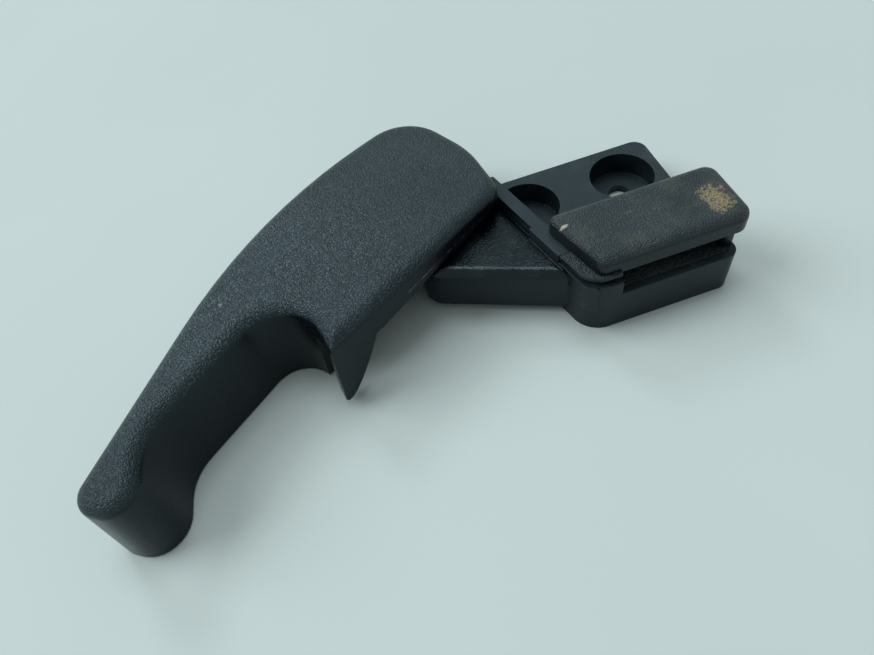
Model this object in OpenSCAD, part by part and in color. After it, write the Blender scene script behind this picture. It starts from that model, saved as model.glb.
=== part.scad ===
// Hood release handle: a pull lever on a moulded bracket, with a trim cap beside it.
// The origin is on the bracket's back face, midway between its two screw holes.
// X runs along the screw holes, Y towards the bracket's back edge, Z out of the back face.

/* [Mounting] */
// Distance between the two screw holes
hole_pitch = 31; // [29:0.5:34]
// Diameter of each screw hole
hole_d = 7; // [5:0.5:8]
// Diameter of the deep recess for each screw head
recess_d = 19.4; // [16:0.2:20]
// Thickness of plastic left under each screw head
recess_floor = 2.5; // [2:0.25:4]

/* [Bracket] */
// Height of the mounting plate
plate_h = 10; // [8.5:0.5:11]
// Distance from the screw holes to the plate's back edge
plate_back = 12.5; // [12:0.5:15]
// Distance from the screw holes to the box's front wall
box_front = 43; // [42:0.5:48]
// Distance from the middle of the screw holes to the right end
plate_right = 28; // [27.5:0.5:32]
// Radius of the box's large front corner
box_corner_r = 8; // [5:0.5:10]
// Thickness of the bracket's walls
wall = 2.2; // [1.8:0.1:2.6]
// Thickness of the bracket's upper skin
skin = 2.5; // [2:0.1:3]
// Height of the low rim in front of the trim slot
rim_h = 13.4; // [12.6:0.2:14]
// Height of the rim round the large corner
corner_h = 18; // [16:0.5:18.5]
// Length of the rim round the large corner, measured to the notch
notch_x = -6.3; // [-8:0.5:-4]
// Height of the strip's upper face
strip_h = 20.8; // [20.2:0.1:20.9]
// Thickness of the strip's lip
lip_t = 1.2; // [1:0.1:2]
// Width of the strip beside the handle
strip_w = 3.8; // [3.2:0.1:4.5]
// Step in the strip's width
strip_step = 0.9; // [0:0.1:1.5]
// Angle of the strip from the Y axis
strip_angle = 15.5; // [12:0.5:18]
// Where the strip's right edge crosses the line of the screw holes, to the left of their middle
strip_x = 22.4; // [22:0.2:25]
// Where the strip is divided between bracket and trim cap, in front of the screw holes
cut_y = 30; // [27:0.5:32]

/* [Sill] */
// Height of the textured sill under the handle
sill_h = 17; // [15:0.5:17.5]
// Clear height under the sill
sill_low = 3; // [2:0.5:4]
// Slope of the sill's front wall
sill_slope = 24.6; // [20:0.5:28]
// Distance from the pivot to the sill's left end
sill_reach = 2.9; // [2:0.2:5]
// Distance from the pivot to the sill's front corner
sill_drop = 26.1; // [25:0.5:28]
// Radius on the sill's upper edges
sill_edge_r = 2.8; // [2:0.2:3.4]

/* [Pivot] */
// Distance of the pivot to the left of the screw holes' middle
pivot_x = 50; // [49:0.5:52]
// Distance of the pivot behind the line of the screw holes
pivot_y = 8; // [6.5:0.5:9.5]
// Diameter of the handle's pivot post
post_d = 12; // [10:0.5:13]
// Radial clearance of the post in the boss
post_fit = 0.08; // [0.04:0.01:0.1]
// Diameter of the bracket's pivot boss
boss_d = 20; // [17:0.5:21]
// Height of the boss's lower face
boss_low = 6; // [5:0.5:7]
// Gap between the handle's collar and the boss
collar_gap = 0.3; // [0.3:0.05:0.5]

/* [Handle] */
// Height of the handle's upper face
handle_h = 26.4; // [26:0.2:28]
// Angle of the handle's straight edge at rest
edge_angle = 30.4; // [28:0.2:32]
// Distance from the pivot to the straight edge
edge_drop = 23.7; // [23:0.2:25]
// Distance from the pivot to the corner of the finger recess
beak_reach = 51.8; // [50:0.5:55]
// Distance from the pivot to the head's far end
head_reach = 24.5; // [24:0.5:26]
// Distance from the pivot to the tip of the grip
grip_reach = 113.8; // [105:0.5:125]
// Radius of the finger recess
recess_r = 11.6; // [9:0.2:12]
// Radius of the grip's long outer curve
back_r = 155; // [120:1:170]
// Radius of the rounded upper edges
edge_r = 4; // [2.5:0.1:4.2]
// Outward slope of the side walls towards their foot
draft = 4.5; // [2:0.5:5]
// Thickness of the handle's walls
handle_wall = 2.2; // [1.8:0.1:2.4]
// Thickness of the handle's upper skin
handle_skin = 2.8; // [2.4:0.1:3.4]
// Height of the grip's foot
grip_low = 0.4; // [0.2:0.1:1]
// Height of the skirt's foot beside the finger recess
skirt_low = 16.6; // [16:0.2:18]
// Height of the skirt's foot at the head's end
skirt_high = 21.4; // [21.2:0.1:22]
// Height of the pointed tab's tip
tab_low = 3.5; // [3:0.5:8]
// Length of the pointed tab
tab_w = 14; // [10:0.5:16]

/* [Cable end] */
// Distance from the pivot to the cable's slot in the handle
lever_r = 18; // [17:0.5:18.5]
// Width of the post that holds the cable's end
lever_w = 5; // [4:0.5:6]
// Height of the cable post's foot
lever_low = 9; // [8.6:0.2:10]
// Width of the slot for the cable
cable_slot = 2; // [1.6:0.1:2.4]
// Diameter of the seat for the cable's end nipple
nipple_d = 3.4; // [3:0.1:4]
// Diameter of the seat for the cable's outer sleeve
sleeve_d = 6.2; // [5:0.2:7]
// Angle that the handle turns through
pull_angle = 50; // [40:1:52]

/* [Trim cap] */
// Thickness of the cap's pad
pad_t = 6.2; // [5:0.2:6.2]
// Depth of the pad from back to front
pad_w = 21.4; // [20:0.2:22]
// Distance from the box's front wall to the pad's front edge
pad_setback = 1.9; // [1.5:0.1:2.5]
// Overhang of the pad past the bracket's right end
pad_over = 2.4; // [1:0.1:3]
// Radius of the pad's corners
pad_corner_r = 4; // [3:0.5:6]
// Radius of the pad's rounded upper edges
pad_edge_r = 2.8; // [1.5:0.1:3.2]
// Thickness of the cap's lower flange
flange_t = 1.2; // [1:0.1:1.4]
// Depth of the trim slot
slot_depth = 7; // [6:0.5:8]
// Width of each snap leg
leg_w = 7; // [5:0.5:9]
// Gap round the cap inside the bracket's rim
cap_gap = 0.5; // [0.3:0.1:0.8]

/* [Pivot screw] */
// Diameter of the pivot screw's shank
screw_d = 4; // [3.5:0.5:5]
// Length of the shank in the post
screw_l = 11; // [8:0.5:14]
// Diameter of the screw's head
screw_head_d = 8; // [7:0.5:9]
// Thickness of the screw's head
screw_head_t = 2.4; // [2:0.1:2.6]
// Outer diameter of the washer
washer_d = 16; // [14.5:0.5:17]
// Thickness of the washer
washer_t = 1.2; // [1:0.1:1.4]

/* [Hidden] */
black = [0.13, 0.14, 0.155];
smooth_black = [0.19, 0.2, 0.22];
steel = [0.62, 0.64, 0.66];
$fn = 64;
eps = 0.01;
far = 200;

strip_foot = -strip_x;
pad_low = handle_h - pad_t;
strip_low = strip_h - lip_t;
wide_strip_w = strip_w + strip_step;
step_along = 17.4;
pocket_r = lever_r + lever_w / 2 + 1.5;
washer_top = boss_low - collar_gap;
rib_top = handle_h - 0.8 * handle_skin;
rib_depth = 0.7;
strip_end = 5.5;
// Bend of the pointed tab's lower edge, and the corner radius under which a corner stays sharp
tab_curve = 1.35;
sharp_r = 2;
cap_play = 0.1;
lever_rest = pull_angle / 2;
lever_half = asin((lever_w / 2 + 0.5) / lever_r);
pad_front = -box_front + pad_setback;
flange_low = rim_h - flange_t;
web_front = pad_front + slot_depth;

// Straight-line helpers in the plane
function unit(v) = v / norm(v);
function turn(v) = [-v[1], v[0]];

// Corner i of a closed outline [[x, y, radius], ...] moved inwards by d, outline counter-clockwise
function inset_corner(path, i, d) =
    let(n = len(path), p = path[i], a = path[(i + n - 1) % n], b = path[(i + 1) % n],
        v = [p[0], p[1]], u = unit(v - [a[0], a[1]]), w = unit([b[0], b[1]] - v),
        side = u[0] * w[1] - u[1] * w[0],
        shift = (turn(u) + turn(w)) / (1 + u * w),
        r = side < 0 ? p[2] + d : p[2] < sharp_r ? min(p[2], 0.8) : max(p[2] - d, 0.8))
    [v[0] + shift[0] * d, v[1] + shift[1] * d, r];
function inset_path(path, d) = [for (i = [0:len(path) - 1]) inset_corner(path, i, d)];

// Points of one rounded corner
function corner_points(path, i, steps) =
    let(n = len(path), p = path[i], a = path[(i + n - 1) % n], b = path[(i + 1) % n],
        v = [p[0], p[1]], u = unit([a[0], a[1]] - v), w = unit([b[0], b[1]] - v),
        half = acos(u * w) / 2, c = v + unit(u + w) * p[2] / sin(half),
        s = v + u * p[2] / tan(half) - c, a0 = atan2(s[1], s[0]),
        side = u[0] * w[1] - u[1] * w[0], sweep = (side < 0 ? 1 : -1) * (180 - 2 * half))
    [for (k = [0:steps]) c + p[2] * [cos(a0 + sweep * k / steps), sin(a0 + sweep * k / steps)]];
function round_path(path, steps) =
    [for (i = [0:len(path) - 1]) each corner_points(path, i, steps)];

// Triangles that fill a flat outline, cut off one corner at a time, outline counter-clockwise
function turn_at(p, q, r) = (q[0] - p[0]) * (r[1] - q[1]) - (q[1] - p[1]) * (r[0] - q[0]);
function is_ear(points, left, i) =
    let(m = len(left), p = points[left[(i + m - 1) % m]], q = points[left[i]], r = points[left[(i + 1) % m]])
    turn_at(p, q, r) > 0 && len([for (k = [2:m - 2]) let(s = points[left[(i + k) % m]])
        if (turn_at(p, q, s) >= 0 && turn_at(q, r, s) >= 0 && turn_at(r, p, s) >= 0) 1]) == 0;
function find_ear(points, left, i = 0) =
    i >= len(left) - 1 || is_ear(points, left, i) ? i : find_ear(points, left, i + 1);
function cut_ears(points, left, done = []) =
    len(left) < 4 ? concat(done, [left]) :
    let(m = len(left), e = find_ear(points, left))
    cut_ears(points, [for (k = [0:m - 1]) if (k != e) left[k]],
        concat(done, [[left[(e + m - 1) % m], left[e], left[(e + 1) % m]]]));

// Solid through rings of equal length, each ring a list of [x, y, z]
module loft(rings) {
    n = len(rings[0]);
    m = len(rings);
    low_cap = cut_ears(rings[0], [for (k = [0:n - 1]) k]);
    high_cap = cut_ears(rings[m - 1], [for (k = [0:n - 1]) k]);
    polyhedron(
        points = [for (ring = rings) each ring],
        faces = concat(low_cap,
            [for (j = [0:m - 2]) for (k = [0:n - 1])
                [j * n + k, (j + 1) * n + k, (j + 1) * n + (k + 1) % n, j * n + (k + 1) % n]],
            [for (t = high_cap) [for (k = [2:-1:0]) (m - 1) * n + t[k]]]),
        convexity = 8);
}
function lift(points, z) = [for (p = points) [p[0], p[1], z]];

// Rings of an upright body with sloping walls and a rounded upper edge
function soft_rings(path, low, high, r, slope, steps, rounds) =
    let(shoulder = high - r, grow = (shoulder - low) * tan(slope))
    concat([lift(round_path(inset_path(path, -grow), steps), low)],
        [for (k = [0:rounds]) let(a = 90 * k / rounds)
            lift(round_path(inset_path(path, r * (1 - cos(a))), steps), shoulder + r * sin(a))]);
module soft_body(path, low, high, r, slope, steps, rounds) {
    loft(soft_rings(path, low, high, r, slope, steps, rounds));
}

// Upright prism with rounded corners
module prism(path, low, high, steps = 8) {
    translate([0, 0, low]) linear_extrude(high - low) polygon(round_path(path, steps));
}

module at_pivot(angle = 0) {
    translate([-pivot_x, pivot_y, 0]) rotate([0, 0, angle]) children();
}
module along_strip() {
    translate([strip_foot, 0, 0]) rotate([0, 0, strip_angle]) children();
}

// Place of the strip's right edge at a given Y
function strip_at(y) = strip_foot - y * tan(strip_angle);

// Handle outline at the foot of its rounded edge, pivot at the origin, straight edge along X
handle_path = [
    [-beak_reach, -edge_drop, 0.9],
    [head_reach - 9, -edge_drop, 8.5],
    [head_reach - 1, -5, 30],
    [head_reach + 0.4, 22.8, 15],
    [-34.6, 29, back_r],
    [-grip_reach - 3.4, -6, 5.5],
    [-grip_reach + 5.4, -22.4, 7],
    [-grip_reach + 18.6, -5.2, 17],
    [-beak_reach + 8.6, 1, recess_r]
];

// Ring on the inner face of the handle's walls at a height
function inner_ring(z, extra) =
    let(depth = handle_wall + extra - (handle_h - edge_r - z) * tan(draft))
    lift(round_path(inset_path(handle_path, depth), 10), z);

// Handle's skin and walls in one piece: the hollow's ceiling, its walls, then the outer face
module handle_shell() {
    high = handle_h - handle_skin;
    loft(concat([inner_ring(high, 1.2), inner_ring(high - 2, 0), inner_ring(grip_low, 0)],
        soft_rings(handle_path, grip_low, handle_h, edge_r, draft, 10, 7)));
}

// Space under the head, where the side walls stop above the bracket
module handle_clearance() {
    rotate([90, 0, 0]) translate([0, 0, -far / 2]) linear_extrude(far)
        polygon([[tab_w - beak_reach, -1], [tab_w - beak_reach, skirt_low],
            [tab_w - beak_reach + 3, skirt_low], [head_reach - 12, skirt_high], [far, skirt_high],
            [far, -1]]);
    // The pointed tab's curved lower edge, on the straight side only
    rotate([90, 0, 0]) translate([0, 0, edge_drop - handle_wall - 1]) linear_extrude(20)
        polygon(concat([[-beak_reach - 6, -1], [-beak_reach - 6, tab_low]],
            [for (k = [0:12]) [-beak_reach + tab_w * k / 12,
                tab_low + (skirt_low - tab_low) * pow(k / 12, tab_curve)]],
            [[tab_w - beak_reach + 1, skirt_low], [tab_w - beak_reach + 1, -1]]));
    // Notch between the tab and the deep wall of the finger recess
    translate([-beak_reach - 6, -edge_drop + handle_wall + 1, -1])
        cube([tab_w + 7, 7.6, skirt_low + 2.4]);
    // The recess's deep wall ends behind the notch
    translate([-beak_reach + 5, -edge_drop + handle_wall + 8, -1])
        cube([tab_w, 40, skirt_low + 1]);
    // Sweep of the outer wall from the grip's foot up to the head
    rotate([90, 0, 0]) translate([0, 0, -far / 2]) linear_extrude(far / 2 - 14)
        polygon(concat([[0, -1], [0, skirt_low]],
            [for (a = [90:-10:0]) [-beak_reach - 6 + 32 * (1 - cos(a)), -1 + (skirt_low + 1) * sin(a)]]));
}

// Places along the line from a to b, as shares of its length, where it crosses a closed outline
function crossings(outline, a, b) = let(n = len(outline), d = b - a)
    [for (i = [0:n - 1])
        let(p = outline[i], e = outline[(i + 1) % n] - p, f = p - a, den = d[0] * e[1] - d[1] * e[0])
        if (abs(den) > 1e-9)
            let(t = (f[0] * e[1] - f[1] * e[0]) / den, u = (f[0] * d[1] - f[1] * d[0]) / den)
            if (u >= 0 && u < 1 && t >= 0 && t <= 1) t];

// Upright rib along the line from a to b, as far as the handle's walls
module rib(a, b, low, t = 1.6) {
    walls = round_path(inset_path(handle_path, rib_depth), 10);
    shares = crossings(walls, a, b);
    from = len(shares) == 2 ? min(shares) : 0;
    to = len(shares) == 2 ? max(shares) : min(shares);
    d = b - a;
    translate([a[0], a[1], low]) rotate([0, 0, atan2(d[1], d[0])])
        translate([from * norm(d), -t / 2, 0]) cube([(to - from) * norm(d), t, rib_top - low]);
}

module handle_ribs() {
    for (k = [0:5])
        rib([-grip_reach + 12 + 11 * k, -30], [-grip_reach + 4 + 11 * k, 40], 4 + k);
    for (a = [20, 75, 130, 195, 250, 312]) rib([0, 0], 60 * [cos(a), sin(a)], 18.6);
    rib([0, -edge_drop + 5], [head_reach + 5, -edge_drop + 5], 19.6);
}

// Post that carries the cable's end, reaching down beside the boss
module cable_post() {
    rotate([0, 0, lever_rest - edge_angle]) translate([lever_r, 0, lever_low])
        difference() {
            translate([-lever_w / 2, -lever_w / 2, 0])
                cube([lever_w, lever_w, rib_top - lever_low]);
            translate([-cable_slot / 2, -lever_w, -1]) cube([cable_slot, 2 * lever_w, 3.5]);
            translate([0, 0, 1.2]) rotate([90, 0, 0]) translate([0, 0, -eps])
                cylinder(d = nipple_d, h = lever_w);
        }
}

// Stop that meets the sill's left end at rest
module rest_stop() {
    rotate([0, 0, -edge_angle]) translate([-sill_reach - 0.3 - 2.4, -sill_drop + 1.5, lever_low + 2])
        cube([2.4, 6.2, rib_top - lever_low - 2]);
}

module handle() {
    color(black) at_pivot(edge_angle) {
        difference() {
            union() {
                handle_shell();
                handle_ribs();
                rest_stop();
                cable_post();
                translate([0, 0, sill_h + collar_gap])
                    cylinder(d = boss_d, h = rib_top - sill_h - collar_gap);
                translate([0, 0, washer_top])
                    cylinder(d = post_d, h = rib_top - 0.3 - washer_top);
            }
            handle_clearance_shell();
            translate([0, 0, washer_top - 1]) cylinder(d = screw_d, h = screw_l + 1);
        }
    }
}

// The clearance without the pivot post, the cable post and the stop, which stay whole
module handle_clearance_shell() {
    difference() {
        handle_clearance();
        cylinder(r = pocket_r, h = far);
        rotate([0, 0, -edge_angle]) translate([-8, -27, 0]) cube([12, 20, far]);
    }
    difference() {
        intersection() {
            handle_clearance();
            union() {
                cylinder(r = pocket_r + eps, h = far);
                rotate([0, 0, -edge_angle]) translate([-8, -27, 0]) cube([12, 20, far]);
            }
        }
        translate([0, 0, -1]) cylinder(d = post_d + 2, h = far);
        rotate([0, 0, lever_rest - edge_angle]) translate([lever_r, 0, 0])
            translate([-lever_w, -lever_w, 0]) cube([1.5 * lever_w, 2 * lever_w, far]);
        rotate([0, 0, -edge_angle]) translate([-sill_reach - 3.4, -sill_drop, 0]) cube([3.2, 9, far]);
        translate([0, 0, sill_h + collar_gap]) cylinder(d = boss_d + 1, h = far);
    }
}

// Base outline: plate and box together
base_path = [
    [strip_at(-box_front) - wide_strip_w, -box_front, box_corner_r],
    [plate_right, -box_front, 3.5],
    [plate_right, plate_back, 4],
    [strip_at(plate_back) - strip_w, plate_back, 1]
];

module screw_places() {
    for (s = [-1, 1]) translate([s * hole_pitch / 2, 0, 0]) children();
}

// Plate and box floor, open underneath, with a deep cup round each screw
module base() {
    difference() {
        prism(base_path, 0, plate_h);
        difference() {
            prism(inset_path(base_path, wall), -1, plate_h - skin);
            screw_places() translate([0, 0, -2]) cylinder(d = recess_d + 2 * wall, h = plate_h + 4);
            for (x = [-12, 8.5]) translate([x - 0.8, -box_front, -2]) cube([1.6, box_front - 12, plate_h]);
            for (y = [-14, -35]) translate([-far / 2, y - 0.8, -2]) cube([far, 1.6, plate_h]);
        }
    }
}

// Rim round the box: high round the large corner, low in front of the slot and at the right end
module rim() {
    difference() {
        prism(base_path, plate_h - eps, corner_h);
        prism(inset_path(base_path, wall), plate_h - 1, corner_h + 1);
        translate([notch_x, -far / 2, rim_h]) cube([far, far, far]);
        translate([-far / 2, -cut_y, plate_h - 1]) cube([far / 2, far, far]);
        translate([notch_x, web_front + 12, plate_h - 1]) cube([far, far, far]);
    }
}

// Strip wall with its lip
module strip() {
    difference() {
        intersection() {
            along_strip() union() {
                translate([-strip_w, -step_along - 1, strip_low]) cube([strip_w, far, lip_t]);
                translate([-wide_strip_w, -far, strip_low]) cube([wide_strip_w, far - step_along, lip_t]);
                translate([-strip_w, -step_along - 1, plate_h - 1]) cube([wall, far, strip_h - plate_h + 1 - lip_t / 2]);
                translate([-wide_strip_w, -far, plate_h - 1])
                    cube([wall, far - step_along, strip_low - plate_h + 1 + eps]);
            }
            prism(inset_path(base_path, -1), 0, far);
        }
        translate([-far / 2, -far - cut_y, corner_h]) cube([far, far, far]);
        translate([-far / 2, strip_end, plate_h]) cube([far, far, far]);
    }
}

// Sill outline in the bracket's own frame; its right end is buried in the strip's wall
sill_left = -pivot_x - sill_reach;
sill_front = pivot_y - sill_drop;
sill_end_x = strip_at(-31) - wide_strip_w + 2.5;
sill_path = [
    [sill_left, sill_front, 6],
    [sill_end_x, sill_front - (sill_end_x - sill_left) * tan(sill_slope), 0.5],
    [strip_at(pivot_y) - strip_w + 2, pivot_y, 0.5],
    [sill_left, pivot_y, 0.5]
];

module sill() {
    soft_body(sill_path, sill_low, sill_h, sill_edge_r, 0, 8, 6);
}

// Floor under the head, a disc cut off beyond the boss
module pivot_floor() {
    difference() {
        at_pivot() cylinder(r = pocket_r + wall, h = sill_low + 5);
        translate([-far, -far / 2, -1]) cube([far - pivot_x - boss_d / 2 - 3, far, far]);
        translate([-far, -far, -1]) cube([far + sill_left + eps, far + pivot_y - boss_d / 2 - 3, far]);
        translate([-far / 2, -far / 2, -1]) cube([far, far, sill_low + 1]);
    }
}

// Pocket in which the cable post swings
module pivot_pocket() {
    stop_angle = -lever_rest - lever_half - 1;
    difference() {
        at_pivot() translate([0, 0, sill_low + 5]) cylinder(r = pocket_r, h = far);
        at_pivot() cylinder(d = boss_d, h = far);
        at_pivot(stop_angle) translate([-far, -far, 0]) cube([2 * far, far, far]);
    }
    at_pivot() difference() {
        translate([0, 0, sill_low + 5]) cylinder(r = pocket_r, h = far);
        cylinder(d = boss_d, h = far);
        rotate([0, 0, -98]) translate([0, -far, 0]) cube([far, 2 * far, far]);
        translate([-sill_reach, -far, 0]) cube([far, 2 * far, far]);
    }
}

// Holder for the cable's outer sleeve
sleeve_z = lever_low + 1.2;
sleeve_x = -pivot_x + lever_r * (1 + cos(lever_rest)) / 2;
module sleeve_holder() {
    y0 = pivot_y + pocket_r - 7;
    translate([sleeve_x - sleeve_d / 2 - wall, y0, sill_low])
        cube([sleeve_d + 2 * wall, 9, sleeve_z + sleeve_d / 2 - sill_low + 0.6]);
}
module sleeve_seat() {
    y0 = pivot_y + pocket_r - 7;
    translate([sleeve_x, y0 + 3, sleeve_z]) rotate([-90, 0, 0]) cylinder(d = sleeve_d, h = 20);
    translate([sleeve_x - cable_slot / 2 - 0.2, y0 - 1, sleeve_z - cable_slot / 2])
        cube([cable_slot + 0.4, 30, 20]);
}

module leg_places() {
    for (x = [-6, 16]) translate([x, web_front + 6, 0]) children();
}

module bracket() {
    color(smooth_black) difference() {
        union() {
            difference() {
                union() {
                    base();
                    rim();
                    strip();
                    sill();
                    pivot_floor();
                    sleeve_holder();
                }
                pivot_pocket();
                sleeve_seat();
            }
            at_pivot() translate([0, 0, sill_low]) cylinder(d = boss_d, h = sill_h - sill_low);
        }
        // The screw recesses stop at the strip's wall
        difference() {
            screw_places() translate([0, 0, recess_floor]) cylinder(d = recess_d, h = far);
            along_strip() translate([-far, -far, 0]) cube([far, 2 * far, far]);
        }
        screw_places() translate([0, 0, -1]) cylinder(d = hole_d, h = recess_floor + 2);
        at_pivot() {
            translate([0, 0, -1]) cylinder(d = post_d + 2 * post_fit, h = far);
            translate([0, 0, -1]) cylinder(d = washer_d + 1.2, h = boss_low + 1);
        }
        leg_places() translate([-cap_gap, -cap_gap, plate_h - skin - 1])
            cube([leg_w + 2 * cap_gap, wall + 1.2 + 2 * cap_gap, skin + 2]);
    }
}

// Trim cap outlines
pad_right = plate_right + pad_over;
pad_back = pad_front + pad_w;
pad_path = [
    [strip_at(pad_front) - 1.2, pad_front, 3],
    [pad_right, pad_front, pad_corner_r],
    [pad_right - 0.2, pad_back, pad_corner_r],
    [strip_at(pad_back) - 1.7, pad_back, 2.2]
];
tail_path = [
    [strip_at(-box_front + 1) - wide_strip_w + 0.2, -box_front + 1, box_corner_r - 1],
    [notch_x, -box_front + 1, 0.3],
    [notch_x, -cut_y - eps, 0.3],
    [strip_at(-cut_y) - wide_strip_w, -cut_y - 0.15, 0.3]
];
flange_path = [
    [notch_x + cap_gap, -box_front + wall - 1, 0.3],
    [plate_right - wall + 0.8, -box_front + wall - 1, 2.5],
    [plate_right - wall + 0.8, web_front + 9, 1],
    [notch_x + cap_gap, web_front + 9, 0.3]
];
web_path = [
    [strip_at(web_front) + 1.5, web_front, 1],
    [plate_right - 4, web_front, 0.4],
    [plate_right - 4, pad_front + 1.5, 1.2],
    [plate_right - 0.4, pad_front + 1.5, 1.2],
    [plate_right - 0.4, pad_back - 1.5, 2.5],
    [strip_at(pad_back - 1.5) + 2.5, pad_back - 1.5, 1]
];

// Hollow of the cap, open at the foot
cavity_back = pad_back - 1.5 - wall;
cavity_path = [
    [strip_at(web_front) + 1.5 + wall, web_front + wall, 0.6],
    [plate_right - 6 - wall, web_front + wall, 0.6],
    [plate_right - 6 - wall, cavity_back, 0.6],
    [strip_at(cavity_back) + 2.5 + wall, cavity_back, 0.6]
];

// Room over the strip for the pad's left end
module strip_relief() {
    intersection() {
        along_strip() translate([cap_play - far, -far, 0]) cube([far, 2 * far, strip_h + cap_play]);
        translate([-far, -cut_y, 0]) cube([2 * far, far, far]);
    }
}

module trim_cap() {
    cavity_top = handle_h - skin;
    color(black) {
        difference() {
            union() {
                soft_body(pad_path, pad_low, handle_h, pad_edge_r, 0, 8, 6);
                prism(web_path, rim_h + cap_play, pad_low + 1);
                prism(tail_path, strip_low, strip_h);
                // Foot inside the bracket's rim
                intersection() {
                    union() {
                        prism(web_path, plate_h, rim_h + 2 * cap_play);
                        prism(flange_path, flange_low, rim_h);
                    }
                    prism(inset_path(base_path, wall + cap_play), plate_h - 1, far);
                }
            }
            prism(cavity_path, plate_h - 1, cavity_top, 4);
            strip_relief();
        }
        leg_places() {
            translate([0, 0, plate_h - skin - 3]) cube([leg_w, wall, cavity_top + 1 - plate_h + skin + 3]);
            rotate([90, 0, 90]) linear_extrude(leg_w)
                polygon([[wall - 0.5, plate_h - skin - 0.3], [wall + 1.2, plate_h - skin - 0.3],
                    [wall - 0.5, plate_h - skin - 3]]);
        }
    }
}

module pivot_washer() {
    color(steel) at_pivot() translate([0, 0, washer_top - washer_t]) difference() {
        cylinder(d = washer_d, h = washer_t);
        translate([0, 0, -1]) cylinder(d = screw_d + 0.4, h = washer_t + 2);
    }
}

module pivot_screw() {
    color(steel) at_pivot() translate([0, 0, washer_top - washer_t]) {
        difference() {
            translate([0, 0, -screw_head_t]) cylinder(d = screw_head_d, h = screw_head_t);
            translate([0, 0, -screw_head_t - 1]) cylinder(d = 4.6, h = 2.4, $fn = 6);
        }
        cylinder(d = screw_d, h = washer_t + screw_l - 1);
    }
}

handle();
bracket();
trim_cap();
pivot_washer();
pivot_screw();
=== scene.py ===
# %% [markdown]
# Hood release handle: the looks.
# The solids of the lever, its bracket, the trim cap and the pivot's screw and washer come packed
# and fixed in one frame, in metres. This script gives them edges that shade softly, moulded plastic
# and plated steel made of shader nodes, the dust and the dried dirt that the real one carries,
# and a soft daylight setting seen from the photograph's viewpoint.

# %% Load the frame
from math import radians, sqrt, tan

import bmesh
import bpy
from mathutils import Matrix, Vector


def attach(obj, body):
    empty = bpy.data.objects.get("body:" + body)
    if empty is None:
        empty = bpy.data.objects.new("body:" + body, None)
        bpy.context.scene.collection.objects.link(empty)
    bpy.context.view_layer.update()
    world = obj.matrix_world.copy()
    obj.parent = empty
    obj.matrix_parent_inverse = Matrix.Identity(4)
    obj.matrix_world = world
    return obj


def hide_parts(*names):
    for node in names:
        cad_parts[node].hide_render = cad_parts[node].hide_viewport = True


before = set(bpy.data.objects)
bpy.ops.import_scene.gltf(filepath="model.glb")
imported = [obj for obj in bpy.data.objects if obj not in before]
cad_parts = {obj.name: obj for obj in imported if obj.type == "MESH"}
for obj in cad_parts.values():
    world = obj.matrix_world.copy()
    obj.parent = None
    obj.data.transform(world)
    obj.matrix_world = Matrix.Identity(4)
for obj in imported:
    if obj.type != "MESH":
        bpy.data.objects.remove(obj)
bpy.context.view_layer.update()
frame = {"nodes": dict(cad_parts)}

MM = 0.001

# %% [markdown]
# The camera stands where the photograph was taken: 155 mm above the table and close to the grip,
# looking down at the part. The three directions below are the photograph's right, down and forward
# in the part's own frame. A camera looks along its own minus Z, so its Y and Z are turned round.

# %% Camera
CAMERA_PLACE = (-68.13 * MM, -133.59 * MM, 155 * MM)
LENS, SENSOR = 27.02, 36
NEAREST = 5 * MM

turn_of_part = Matrix.Rotation(radians(-17.8), 3, "Z")
view_right = turn_of_part @ Vector((0.99208, 0.0, -0.12564))
view_down = turn_of_part @ Vector((-0.07145, -0.82258, -0.56415))
view_forward = turn_of_part @ Vector((-0.10335, 0.56866, -0.81606))

camera_data = bpy.data.cameras.new("photo_camera")
camera_data.sensor_width = SENSOR
camera_data.lens = LENS
camera_data.clip_start = NEAREST
camera = bpy.data.objects.new("photo_camera", camera_data)
bpy.context.scene.collection.objects.link(camera)
axes = Matrix((view_right, -view_down, -view_forward)).transposed().to_4x4()
camera.matrix_world = Matrix.Translation(CAMERA_PLACE) @ axes
bpy.context.scene.camera = camera
print("camera at", [round(v, 4) for v in camera.location])

# %% [markdown]
# A node tree is easier to read when one line makes one node. The first helper adds a node, fills its
# sockets with numbers or links, and returns it. The others are built on it: sums, soft thresholds,
# colour blends, noise, and a new material with its shader and its own coordinates.

# %% Node helpers
def add_node(tree, kind, inputs=None, **settings):
    node = tree.nodes.new(kind)
    for name, value in settings.items():
        setattr(node, name, value)
    for name, value in (inputs or {}).items():
        socket = node.inputs[name]
        if isinstance(value, bpy.types.NodeSocket):
            tree.links.new(value, socket)
        else:
            socket.default_value = value
    return node


def maths(tree, operation, a, b=0.0, c=0.0):
    return add_node(tree, "ShaderNodeMath", {0: a, 1: b, 2: c}, operation=operation).outputs[0]


def product(tree, first, *others):
    for other in others:
        first = maths(tree, "MULTIPLY", first, other)
    return first


def vector_maths(tree, operation, a, b=(0, 0, 0), output=0):
    return add_node(tree, "ShaderNodeVectorMath", {0: a, 1: b}, operation=operation).outputs[output]


def smooth_step(tree, value, low, high):
    node = add_node(tree, "ShaderNodeMapRange", {"Value": value, "From Min": low, "From Max": high},
                    interpolation_type="SMOOTHSTEP")
    return node.outputs["Result"]


def blend_colours(tree, share, first, second):
    node = add_node(tree, "ShaderNodeMix", data_type="RGBA")
    for socket, value in ((node.inputs[0], share), (node.inputs[6], first), (node.inputs[7], second)):
        if isinstance(value, bpy.types.NodeSocket):
            tree.links.new(value, socket)
        else:
            socket.default_value = value
    return node.outputs[2]


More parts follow.
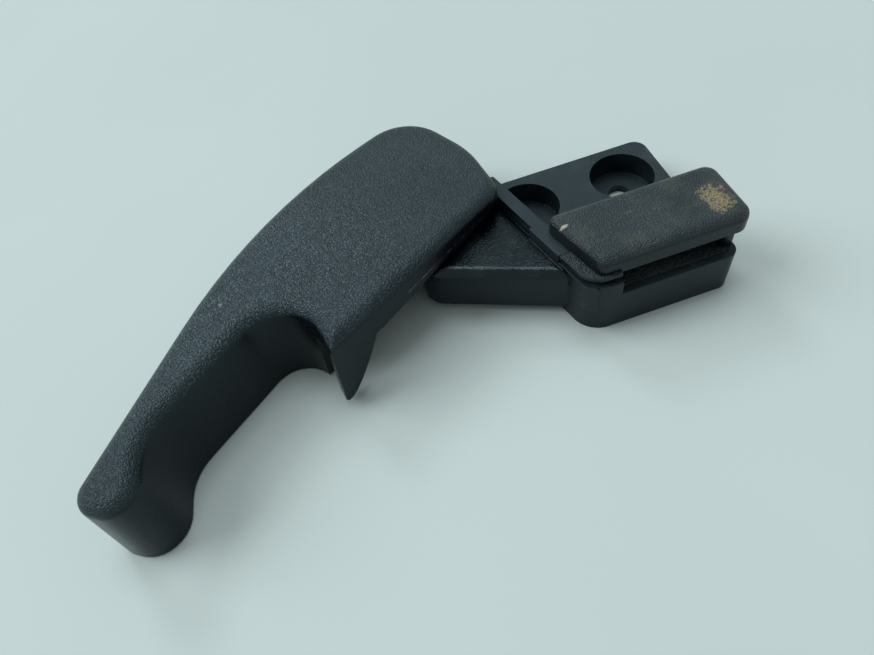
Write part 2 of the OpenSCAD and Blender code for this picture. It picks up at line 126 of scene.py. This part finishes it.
def noise(tree, place, scale, detail=2.0, roughness=0.5):
    return add_node(tree, "ShaderNodeTexNoise", {"Vector": place, "Scale": scale, "Detail": detail,
                                                 "Roughness": roughness}).outputs["Fac"]


def new_material(name, roughness, specular=0.5, metallic=0.0, tint=(1, 1, 1, 1)):
    material = bpy.data.materials.new(name)
    material.use_nodes = True
    tree = material.node_tree
    tree.nodes.clear()
    shader = add_node(tree, "ShaderNodeBsdfPrincipled",
                      {"Roughness": roughness, "Specular IOR Level": specular, "Metallic": metallic,
                       "Specular Tint": tint})
    add_node(tree, "ShaderNodeOutputMaterial", {"Surface": shader.outputs[0]})
    place = add_node(tree, "ShaderNodeTexCoord").outputs["Object"]
    return material, tree, shader, place


# %% [markdown]
# The floor is a plain pale sheet with a cool green tint, like the table in the photograph.
# It lies just under the part and keeps the part's soft shadow. It is 40 m wide, so that its edge is a
# far horizon.

# %% Floor
FLOOR_SIZE = 40
FLOOR_GAP = 0.05 * MM
FLOOR_COLOURS = ((0.475, 0.515, 0.485, 1), (0.515, 0.555, 0.525, 1))

bpy.ops.mesh.primitive_plane_add(size=FLOOR_SIZE, location=(0, 0, -FLOOR_GAP))
floor = bpy.context.object
floor.name = "floor"
floor_material, tree, shader, place = new_material("pale_table", 0.6, 0.3)
cloud = noise(tree, place, 9.0, 2.0)
tree.links.new(blend_colours(tree, cloud, *FLOOR_COLOURS), shader.inputs["Base Color"])
floor.data.materials.append(floor_material)
print("floor at", round(floor.location.z / MM, 2), "mm")

# %% [markdown]
# The light is an overcast day. The sky could be one even colour, but then light would creep in low
# from all round and wash out the deep shadow under the part. So the sky that lights the part is dim
# at the horizon and brighter overhead, and three soft suns give most of the light. The strongest and
# widest comes from the left, one from above, and a weak one from behind makes the grain sparkle.
# What the camera and the reflections see of the sky is one pale colour, close to the floor's, so
# that every view has a pale background.

# %% Light
DAYLIGHT = (0.84, 0.95, 1.0)
SEEN_SKY = (0.55, 0.67, 0.66, 1)
HORIZON_LIGHT, OVERHEAD_LIGHT = 0.07, 0.52

world = bpy.data.worlds.new("overcast")
bpy.context.scene.world = world
world.use_nodes = True
sky = world.node_tree
sky_place = add_node(sky, "ShaderNodeTexCoord").outputs["Generated"]
direction = add_node(sky, "ShaderNodeSeparateXYZ", {0: sky_place})
overhead = smooth_step(sky, direction.outputs["Z"], 0.0, 0.95)
ray = add_node(sky, "ShaderNodeLightPath").outputs
mirrored = maths(sky, "MAXIMUM", ray["Is Glossy Ray"], ray["Is Transmission Ray"])
seen = maths(sky, "MAXIMUM", ray["Is Camera Ray"], mirrored)
background = sky.nodes["Background"]
sky.links.new(blend_colours(sky, seen, (*DAYLIGHT, 1), SEEN_SKY), background.inputs["Color"])
lighting = maths(sky, "MULTIPLY_ADD", overhead, OVERHEAD_LIGHT, HORIZON_LIGHT)
sky.links.new(maths(sky, "MAXIMUM", lighting, seen), background.inputs["Strength"])


def soft_sun(name, from_place, strength, spread):
    lamp = bpy.data.lights.new(name, "SUN")
    lamp.angle = radians(spread)
    lamp.energy = strength
    lamp.color = DAYLIGHT
    lamp_object = bpy.data.objects.new(name, lamp)
    bpy.context.scene.collection.objects.link(lamp_object)
    lamp_object.location = from_place
    lamp_object.rotation_euler = (-Vector(from_place)).to_track_quat("-Z", "Y").to_euler()


soft_sun("window", (-1.0, 0.45, 0.95), 2.0, 40)
soft_sun("ceiling", (0.10, 0.35, 1.30), 0.80, 26)
soft_sun("doorway", (-0.25, 0.97, 0.84), 0.60, 15)

bpy.context.scene.view_settings.view_transform = "Standard"

# %% [markdown]
# The lever's solid has one rib whose end runs out through the skirt beside the pointed tab. The real
# moulding has a plain skirt there. The piece built here is a copy of the solid with that end cut
# off at the skirt's face and the opening closed. It stands for the solid and rides on the lever.
# The sizes are the source's own: where the pivot is, how far the skirt's face lies from it and how
# it is turned, the height where the rounded upper edge starts, that edge's radius and the draft.
# Only the two ends of the stretch where the rib comes out were measured on the mesh.

# %% Lever moulding
PIVOT = Vector((-50, 8, 0)) * MM
EDGE_ANGLE, EDGE_DROP = radians(30.4), 23.7 * MM
SHOULDER, EDGE_R, DRAFT = 22.4 * MM, 4 * MM, radians(4.5)
RIB_FROM, RIB_TO = -48.6 * MM, -45.2 * MM
FACE_TOLERANCE = 0.04 * MM
WELD_GAP = 0.001 * MM


def beyond_skirt(point):
    """True where a point lies on the rib's end: on or outside the skirt's sloping outer face."""
    own = Matrix.Rotation(-EDGE_ANGLE, 3, "Z") @ (point - PIVOT)
    rise = min(max((own.z - SHOULDER) / EDGE_R, 0), 1)
    face = -EDGE_DROP - max(SHOULDER - own.z, 0) * tan(DRAFT) + EDGE_R * (1 - sqrt(1 - rise ** 2))
    return RIB_FROM < own.x < RIB_TO and own.y < face + FACE_TOLERANCE


lever_mesh = bmesh.new()
lever_mesh.from_mesh(frame["nodes"]["handle"].data)
bmesh.ops.remove_doubles(lever_mesh, verts=lever_mesh.verts, dist=WELD_GAP)
end_faces = [f for f in lever_mesh.faces if all(beyond_skirt(v.co) for v in f.verts)]
bmesh.ops.delete(lever_mesh, geom=end_faces, context="FACES")
rim = [e for e in lever_mesh.edges if e.is_boundary]
closed = bmesh.ops.holes_fill(lever_mesh, edges=rim, sides=0)["faces"]
closed_count = len(closed)
bmesh.ops.triangulate(lever_mesh, faces=closed)
bmesh.ops.recalc_face_normals(lever_mesh, faces=lever_mesh.faces)
moulding_mesh = bpy.data.meshes.new("lever_moulding")
lever_mesh.to_mesh(moulding_mesh)
lever_mesh.free()
lever_moulding = bpy.data.objects.new("lever_moulding", moulding_mesh)
bpy.context.scene.collection.objects.link(lever_moulding)
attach(lever_moulding, "lever")
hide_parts("handle")
print("lever moulding:", len(end_faces), "faces left out,", closed_count, "openings closed")

# %% [markdown]
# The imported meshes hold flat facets. Three modifiers make them shade like moulded plastic and leave
# every vertex where it is: the first welds the facets together, the next keeps edges over 32 degrees
# sharp, and the last lets large flat faces rule the shading, so that they stay flat to the edge.

# %% Soft shading
SHARP_ANGLE = radians(32)
FLAT_WEIGHT = 60


def shade_softly(piece):
    mesh = piece.data
    if "custom_normal" in mesh.attributes:
        mesh.attributes.remove(mesh.attributes["custom_normal"])
    mesh.polygons.foreach_set("use_smooth", [True] * len(mesh.polygons))
    weld = piece.modifiers.new("weld", "WELD")
    weld.merge_threshold = WELD_GAP
    split = piece.modifiers.new("sharp_edges", "EDGE_SPLIT")
    split.split_angle = SHARP_ANGLE
    split.use_edge_sharp = False
    weighted = piece.modifiers.new("flat_faces", "WEIGHTED_NORMAL")
    weighted.weight = FLAT_WEIGHT
    weighted.keep_sharp = True


pieces = {**frame["nodes"], "handle": lever_moulding}
for piece in pieces.values():
    shade_softly(piece)
print("soft shading on", len(pieces), "pieces")

# %% [markdown]
# The upper faces carry a fine leather grain, pressed by the mould: small rounded pebbles with thin
# creases between them. A Voronoi pattern gives the pebbles, and noise bends their edges. Finer lumps
# and a slow swell are added, so that no two pebbles are alike. The crests are painted paler, a painted
# highlight of the grain's sparkle that leaves the creases dark as painted shade, and a slow mottle of
# dust makes the tops paler here and there.
# The side walls are plain, so the grain fades by the direction that the surface faces. A moulding
# has no knife edges: the Bevel node rounds the shading of each edge by a third of a millimetre,
# which gives the thin bright lines along the rims without a change to the mesh.

# %% Moulded grain
PEBBLE, PEBBLE_BEND = 0.50 * MM, 0.25 * MM
EDGE_ROUNDING = 0.35 * MM
PLAIN_BELOW, GRAINED_ABOVE = 0.25, 0.55
CREST_LOW, CREST_HIGH = 1.3, 1.6
PLASTIC_SPECULAR, PLASTIC_TINT = 0.34, (0.74, 0.91, 1.0, 1)


def facing_up(tree):
    normal = add_node(tree, "ShaderNodeNewGeometry").outputs["Normal"]
    return add_node(tree, "ShaderNodeSeparateXYZ", {0: normal}).outputs["Z"]


def bent_place(tree, place, amount):
    push = add_node(tree, "ShaderNodeTexNoise", {"Vector": place, "Scale": 1500.0, "Detail": 1.0})
    push = vector_maths(tree, "SUBTRACT", push.outputs["Color"], (0.5, 0.5, 0.5))
    push = vector_maths(tree, "MULTIPLY", push, (amount, amount, amount))
    return vector_maths(tree, "ADD", place, push)


def grain_height(tree, place):
    bent = bent_place(tree, place, PEBBLE_BEND)
    pebbles = add_node(tree, "ShaderNodeTexVoronoi", {"Vector": bent, "Scale": 1 / PEBBLE,
                                                      "Smoothness": 0.35}, feature="SMOOTH_F1")
    lumps = noise(tree, place, 2900.0, 2.0, 0.6)
    swell = noise(tree, place, 420.0, 2.0)
    height = maths(tree, "SUBTRACT", 1.0, pebbles.outputs["Distance"])
    height = maths(tree, "MULTIPLY_ADD", lumps, 0.7, height)
    return maths(tree, "MULTIPLY_ADD", swell, 0.5, height)


def grained_plastic(name, dark, light, roughness, grain_depth):
    material, tree, shader, place = new_material(name, roughness, PLASTIC_SPECULAR, tint=PLASTIC_TINT)
    upward = smooth_step(tree, facing_up(tree), PLAIN_BELOW, GRAINED_ABOVE)

    height = grain_height(tree, place)
    strength = maths(tree, "MULTIPLY_ADD", upward, 0.97, 0.02)
    rounded = add_node(tree, "ShaderNodeBevel", {"Radius": EDGE_ROUNDING}, samples=4)
    bump = add_node(tree, "ShaderNodeBump", {"Strength": strength, "Distance": grain_depth,
                                             "Height": height, "Normal": rounded.outputs[0]})
    tree.links.new(bump.outputs[0], shader.inputs["Normal"])

    cloud = noise(tree, place, 60.0, 4.0, 0.6)
    # Painted highlight: the grain's crests are painted paler, which leaves the creases dark as painted
    # shade; the slow cloud adds a random mottle of dust.
    sparkle_crests = smooth_step(tree, height, CREST_LOW, CREST_HIGH)
    pale = maths(tree, "MULTIPLY_ADD", sparkle_crests, 0.8, product(tree, cloud, 0.5))
    base = blend_colours(tree, product(tree, pale, upward), dark, light)

    ripple = maths(tree, "MULTIPLY_ADD", upward, 0.18, 0.04)
    uneven = product(tree, noise(tree, place, 500.0, 3.0, 0.6), ripple)
    gloss = maths(tree, "ADD", uneven, roughness - 0.08)
    tree.links.new(gloss, shader.inputs["Roughness"])
    return material, tree, shader, place, base, gloss, upward


# %% [markdown]
# Dust and dirt sit at real places on the part. Each mark's strength falls with the distance from a
# point or from a short line, and noise gives it the ragged edge that dried dirt has.

# %% Marks of use
def near_point(tree, place, point_mm, stretch=(1, 1, 1)):
    offset = vector_maths(tree, "SUBTRACT", place, [v * MM for v in point_mm])
    offset = vector_maths(tree, "MULTIPLY", offset, stretch)
    return maths(tree, "DIVIDE", vector_maths(tree, "LENGTH", offset, output=1), MM)


def near_line(tree, place, start_mm, end_mm):
    start = Vector(start_mm) * MM
    along = (Vector(end_mm) - Vector(start_mm)) * MM
    offset = vector_maths(tree, "SUBTRACT", place, start)
    share = maths(tree, "DIVIDE", vector_maths(tree, "DOT_PRODUCT", offset, along, output=1),
                  along.length_squared)
    share = maths(tree, "MINIMUM", maths(tree, "MAXIMUM", share, 0.0), 1.0)
    node = add_node(tree, "ShaderNodeVectorMath", {0: along, "Scale": share}, operation="SCALE")
    aside = vector_maths(tree, "SUBTRACT", offset, node.outputs[0])
    return maths(tree, "DIVIDE", vector_maths(tree, "LENGTH", aside, output=1), MM)


def ragged(tree, distance, radius, edge, wobble):
    return smooth_step(tree, maths(tree, "ADD", distance, wobble), radius, radius - edge)


# %% [markdown]
# The lever: near-black plastic with a blue-grey cast, a fine grain on top and smooth walls. Above the
# finger recess, the tips of the grain are painted pale: painted glints of the grain's sparkle, with
# some dust among them. Pale specks of dust lie in the grain, and a thin dusty line runs along the foot
# of the skirt.

# %% Lever
DARK = (0.002, 0.0035, 0.005, 1)
LIGHT = (0.030, 0.043, 0.050, 1)
DUST_AND_GLINT = (0.125, 0.155, 0.17, 1)
DUST = (0.30, 0.32, 0.31, 1)
GLINT_AREA_AT = (-100, -10, 26)
SPECKS_AT = ((-79.6, -39.0, 26.4), (-121.4, -16.8, 26.4), (-138.6, -50.7, 25.5), (-106.6, -14.5, 26.4))
SKIRT_FOOT = ((-58.8, -25.2, 20.0), (-33.8, -10.6, 21.6))

lever_plastic, tree, shader, place, base, gloss, upward = grained_plastic(
    "lever_plastic", DARK, LIGHT, roughness=0.33, grain_depth=0.30 * MM)
# Painted glints: pale tips of the grain, strongest around one spot, stand in for the grain's sparkle
# there; some of them are dust.
dust_and_glint_tips = smooth_step(tree, noise(tree, place, 2400.0, 1.0), 0.54, 0.66)
glint_area = smooth_step(tree, near_point(tree, place, GLINT_AREA_AT, (0.8, 1, 1)), 52.0, 12.0)
glint_area = maths(tree, "MULTIPLY_ADD", glint_area, 0.75, 0.25)
base = blend_colours(tree, product(tree, dust_and_glint_tips, glint_area, upward, 0.55), base, DUST_AND_GLINT)

specks = smooth_step(tree, noise(tree, place, 1500.0, 0.0), 0.78, 0.84)
dust_cloud = smooth_step(tree, noise(tree, place, 35.0, 3.0), 0.45, 0.7)
dusty = product(tree, specks, dust_cloud, upward, 0.35)
for speck_at in SPECKS_AT:
    spot = ragged(tree, near_point(tree, place, speck_at), 0.8, 0.5, product(tree, specks, 0.1))
    dusty = maths(tree, "MAXIMUM", dusty, product(tree, spot, 0.4))
wobble = product(tree, noise(tree, place, 700.0, 3.0), 0.5)
skirt_line = ragged(tree, near_line(tree, place, *SKIRT_FOOT), 0.7, 0.35, wobble)
dusty = maths(tree, "MAXIMUM", dusty, product(tree, skirt_line, 0.7))
tree.links.new(blend_colours(tree, dusty, base, DUST), shader.inputs["Base Color"])
print("lever plastic has", len(tree.nodes), "nodes")

# %% [markdown]
# The bracket is the same plastic with a satin finish. The sill under the lever's head is glossier and
# shows the coarse, soft lumps of worn grain, and its colour is painted darker as painted shade where
# the lever's head shadows it. It is found by its height, between the plate and the strip, and by its
# place to the left of the box.

# %% Bracket
BRACKET_DARK = (0.004, 0.0065, 0.0085, 1)
BRACKET_LIGHT = (0.026, 0.036, 0.042, 1)
SILL_SHADE = (0.001, 0.002, 0.003, 1)
SILL_LOW, SILL_TOP, SILL_FADE = 13.0 * MM, 17.4 * MM, 0.4 * MM
SILL_RIGHT, SILL_FULL = -16 * MM, -18 * MM

bracket_plastic, tree, shader, place, base, gloss, upward = grained_plastic(
    "bracket_plastic", BRACKET_DARK, BRACKET_LIGHT, roughness=0.45, grain_depth=0.05 * MM)
where = add_node(tree, "ShaderNodeSeparateXYZ", {0: place}).outputs
above = smooth_step(tree, where["Z"], SILL_LOW - SILL_FADE, SILL_LOW)
below = smooth_step(tree, where["Z"], SILL_TOP + SILL_FADE, SILL_TOP)
on_sill = product(tree, above, below, smooth_step(tree, where["X"], SILL_RIGHT, SILL_FULL))
tree.links.new(maths(tree, "MULTIPLY_ADD", on_sill, -0.30, gloss), shader.inputs["Roughness"])

fine_bump = shader.inputs["Normal"].links[0].from_node
worn = noise(tree, place, 850.0, 3.0, 0.55)
soft_lumps = add_node(tree, "ShaderNodeBump", {"Strength": product(tree, on_sill, 0.8),
                                               "Distance": 0.08 * MM, "Height": worn,
                                               "Normal": fine_bump.outputs[0]})
tree.links.new(soft_lumps.outputs[0], shader.inputs["Normal"])

# Painted shade: the sill's colour is darkened to nearly black where the lever's head shadows it.
shaded_sill = blend_colours(tree, on_sill, base, SILL_SHADE)
film = smooth_step(tree, noise(tree, place, 120.0, 5.0, 0.65), 0.5, 0.9)
film = product(tree, film, upward, 0.10)
tree.links.new(blend_colours(tree, film, shaded_sill, DUST), shader.inputs["Base Color"])
print("bracket plastic has", len(tree.nodes), "nodes")

# %% [markdown]
# The trim cap's pad is handled and rubbed most. It carries a brownish film, fine scratches along
# its length and one patch of dried tan dirt near its right end, with a pale fleck at the left.
# The patch is a ragged area filled with crumbs, which lie closer together near its middle.

# %% Trim cap
CAP_DARK = (0.004, 0.006, 0.0075, 1)
CAP_LIGHT = (0.052, 0.060, 0.063, 1)
FILM = (0.11, 0.095, 0.068, 1)
SCRATCHED = (0.19, 0.185, 0.165, 1)
DIRT_DARK = (0.13, 0.10, 0.055, 1)
DIRT_PALE = (0.27, 0.205, 0.11, 1)
FLECK = (0.42, 0.40, 0.27, 1)
PATCH_AT, PATCH_R = (23.6, -32.6, 26.4), 3.9
FLECK_AT, FLECK_R = (-15.8, -25.5, 25.6), 1.5

cap_plastic, tree, shader, place, base, gloss, upward = grained_plastic(
    "cap_plastic", CAP_DARK, CAP_LIGHT, roughness=0.34, grain_depth=0.30 * MM)
film = smooth_step(tree, noise(tree, place, 90.0, 5.0, 0.7), 0.42, 0.75)
base = blend_colours(tree, product(tree, film, upward, 0.30), base, FILM)
long_place = vector_maths(tree, "MULTIPLY", place, (60, 900, 60))
scratches = smooth_step(tree, noise(tree, long_place, 1.6, 3.0, 0.6), 0.6, 0.8)
base = blend_colours(tree, product(tree, scratches, upward, 0.22), base, SCRATCHED)

wobble = maths(tree, "SUBTRACT", noise(tree, place, 260.0, 5.0, 0.7), 0.5)
wobble = product(tree, wobble, 11.0)
patch = near_point(tree, place, PATCH_AT, (1.0, 0.66, 0.6))
patch = ragged(tree, patch, PATCH_R, 1.0, wobble)
thinning = product(tree, near_point(tree, place, PATCH_AT), 0.035)
crumbs = maths(tree, "SUBTRACT", noise(tree, place, 1300.0, 3.0, 0.65), thinning)
crumbs = smooth_step(tree, crumbs, 0.24, 0.40)
dirt = smooth_step(tree, noise(tree, place, 2200.0, 2.0), 0.35, 0.65)
dirt = blend_colours(tree, dirt, DIRT_DARK, DIRT_PALE)
base = blend_colours(tree, product(tree, patch, crumbs), base, dirt)

fleck = near_point(tree, place, FLECK_AT, (1.0, 2.6, 1.0))
fleck = ragged(tree, fleck, FLECK_R, 0.5, product(tree, wobble, 0.5))
base = blend_colours(tree, product(tree, fleck, 0.8), base, FLECK)
tree.links.new(base, shader.inputs["Base Color"])
print("cap plastic has", len(tree.nodes), "nodes")

# %% [markdown]
# The pivot's washer and screw are zinc-plated steel, seen only from behind. Fine turning marks run
# round the pivot's axis, so the pattern depends only on the distance from that axis.

# %% Pivot steel
STEEL_COLOURS = ((0.42, 0.43, 0.44, 1), (0.62, 0.63, 0.64, 1))

pivot_steel, tree, shader, place = new_material("pivot_steel", 0.34, metallic=1.0)
from_axis = near_point(tree, place, PIVOT / MM, (1, 1, 0))
radius_only = add_node(tree, "ShaderNodeCombineXYZ", {0: from_axis}).outputs[0]
rings = noise(tree, radius_only, 6.0, 3.0)
tree.links.new(blend_colours(tree, rings, *STEEL_COLOURS), shader.inputs["Base Color"])
turned = add_node(tree, "ShaderNodeBump", {"Strength": 0.3, "Distance": 0.02 * MM, "Height": rings})
tree.links.new(turned.outputs[0], shader.inputs["Normal"])
print("pivot steel has", len(tree.nodes), "nodes")

# %% [markdown]
# Each piece takes its one material. The lever's goes on the moulding that stands for its solid.

# %% Finishes
finishes = {"handle": lever_plastic, "bracket": bracket_plastic, "trim_cap": cap_plastic,
            "pivot_washer": pivot_steel, "pivot_screw": pivot_steel}
for node_name, material in finishes.items():
    mesh = pieces[node_name].data
    mesh.materials.clear()
    mesh.materials.append(material)
print("finishes on", sorted(finishes))
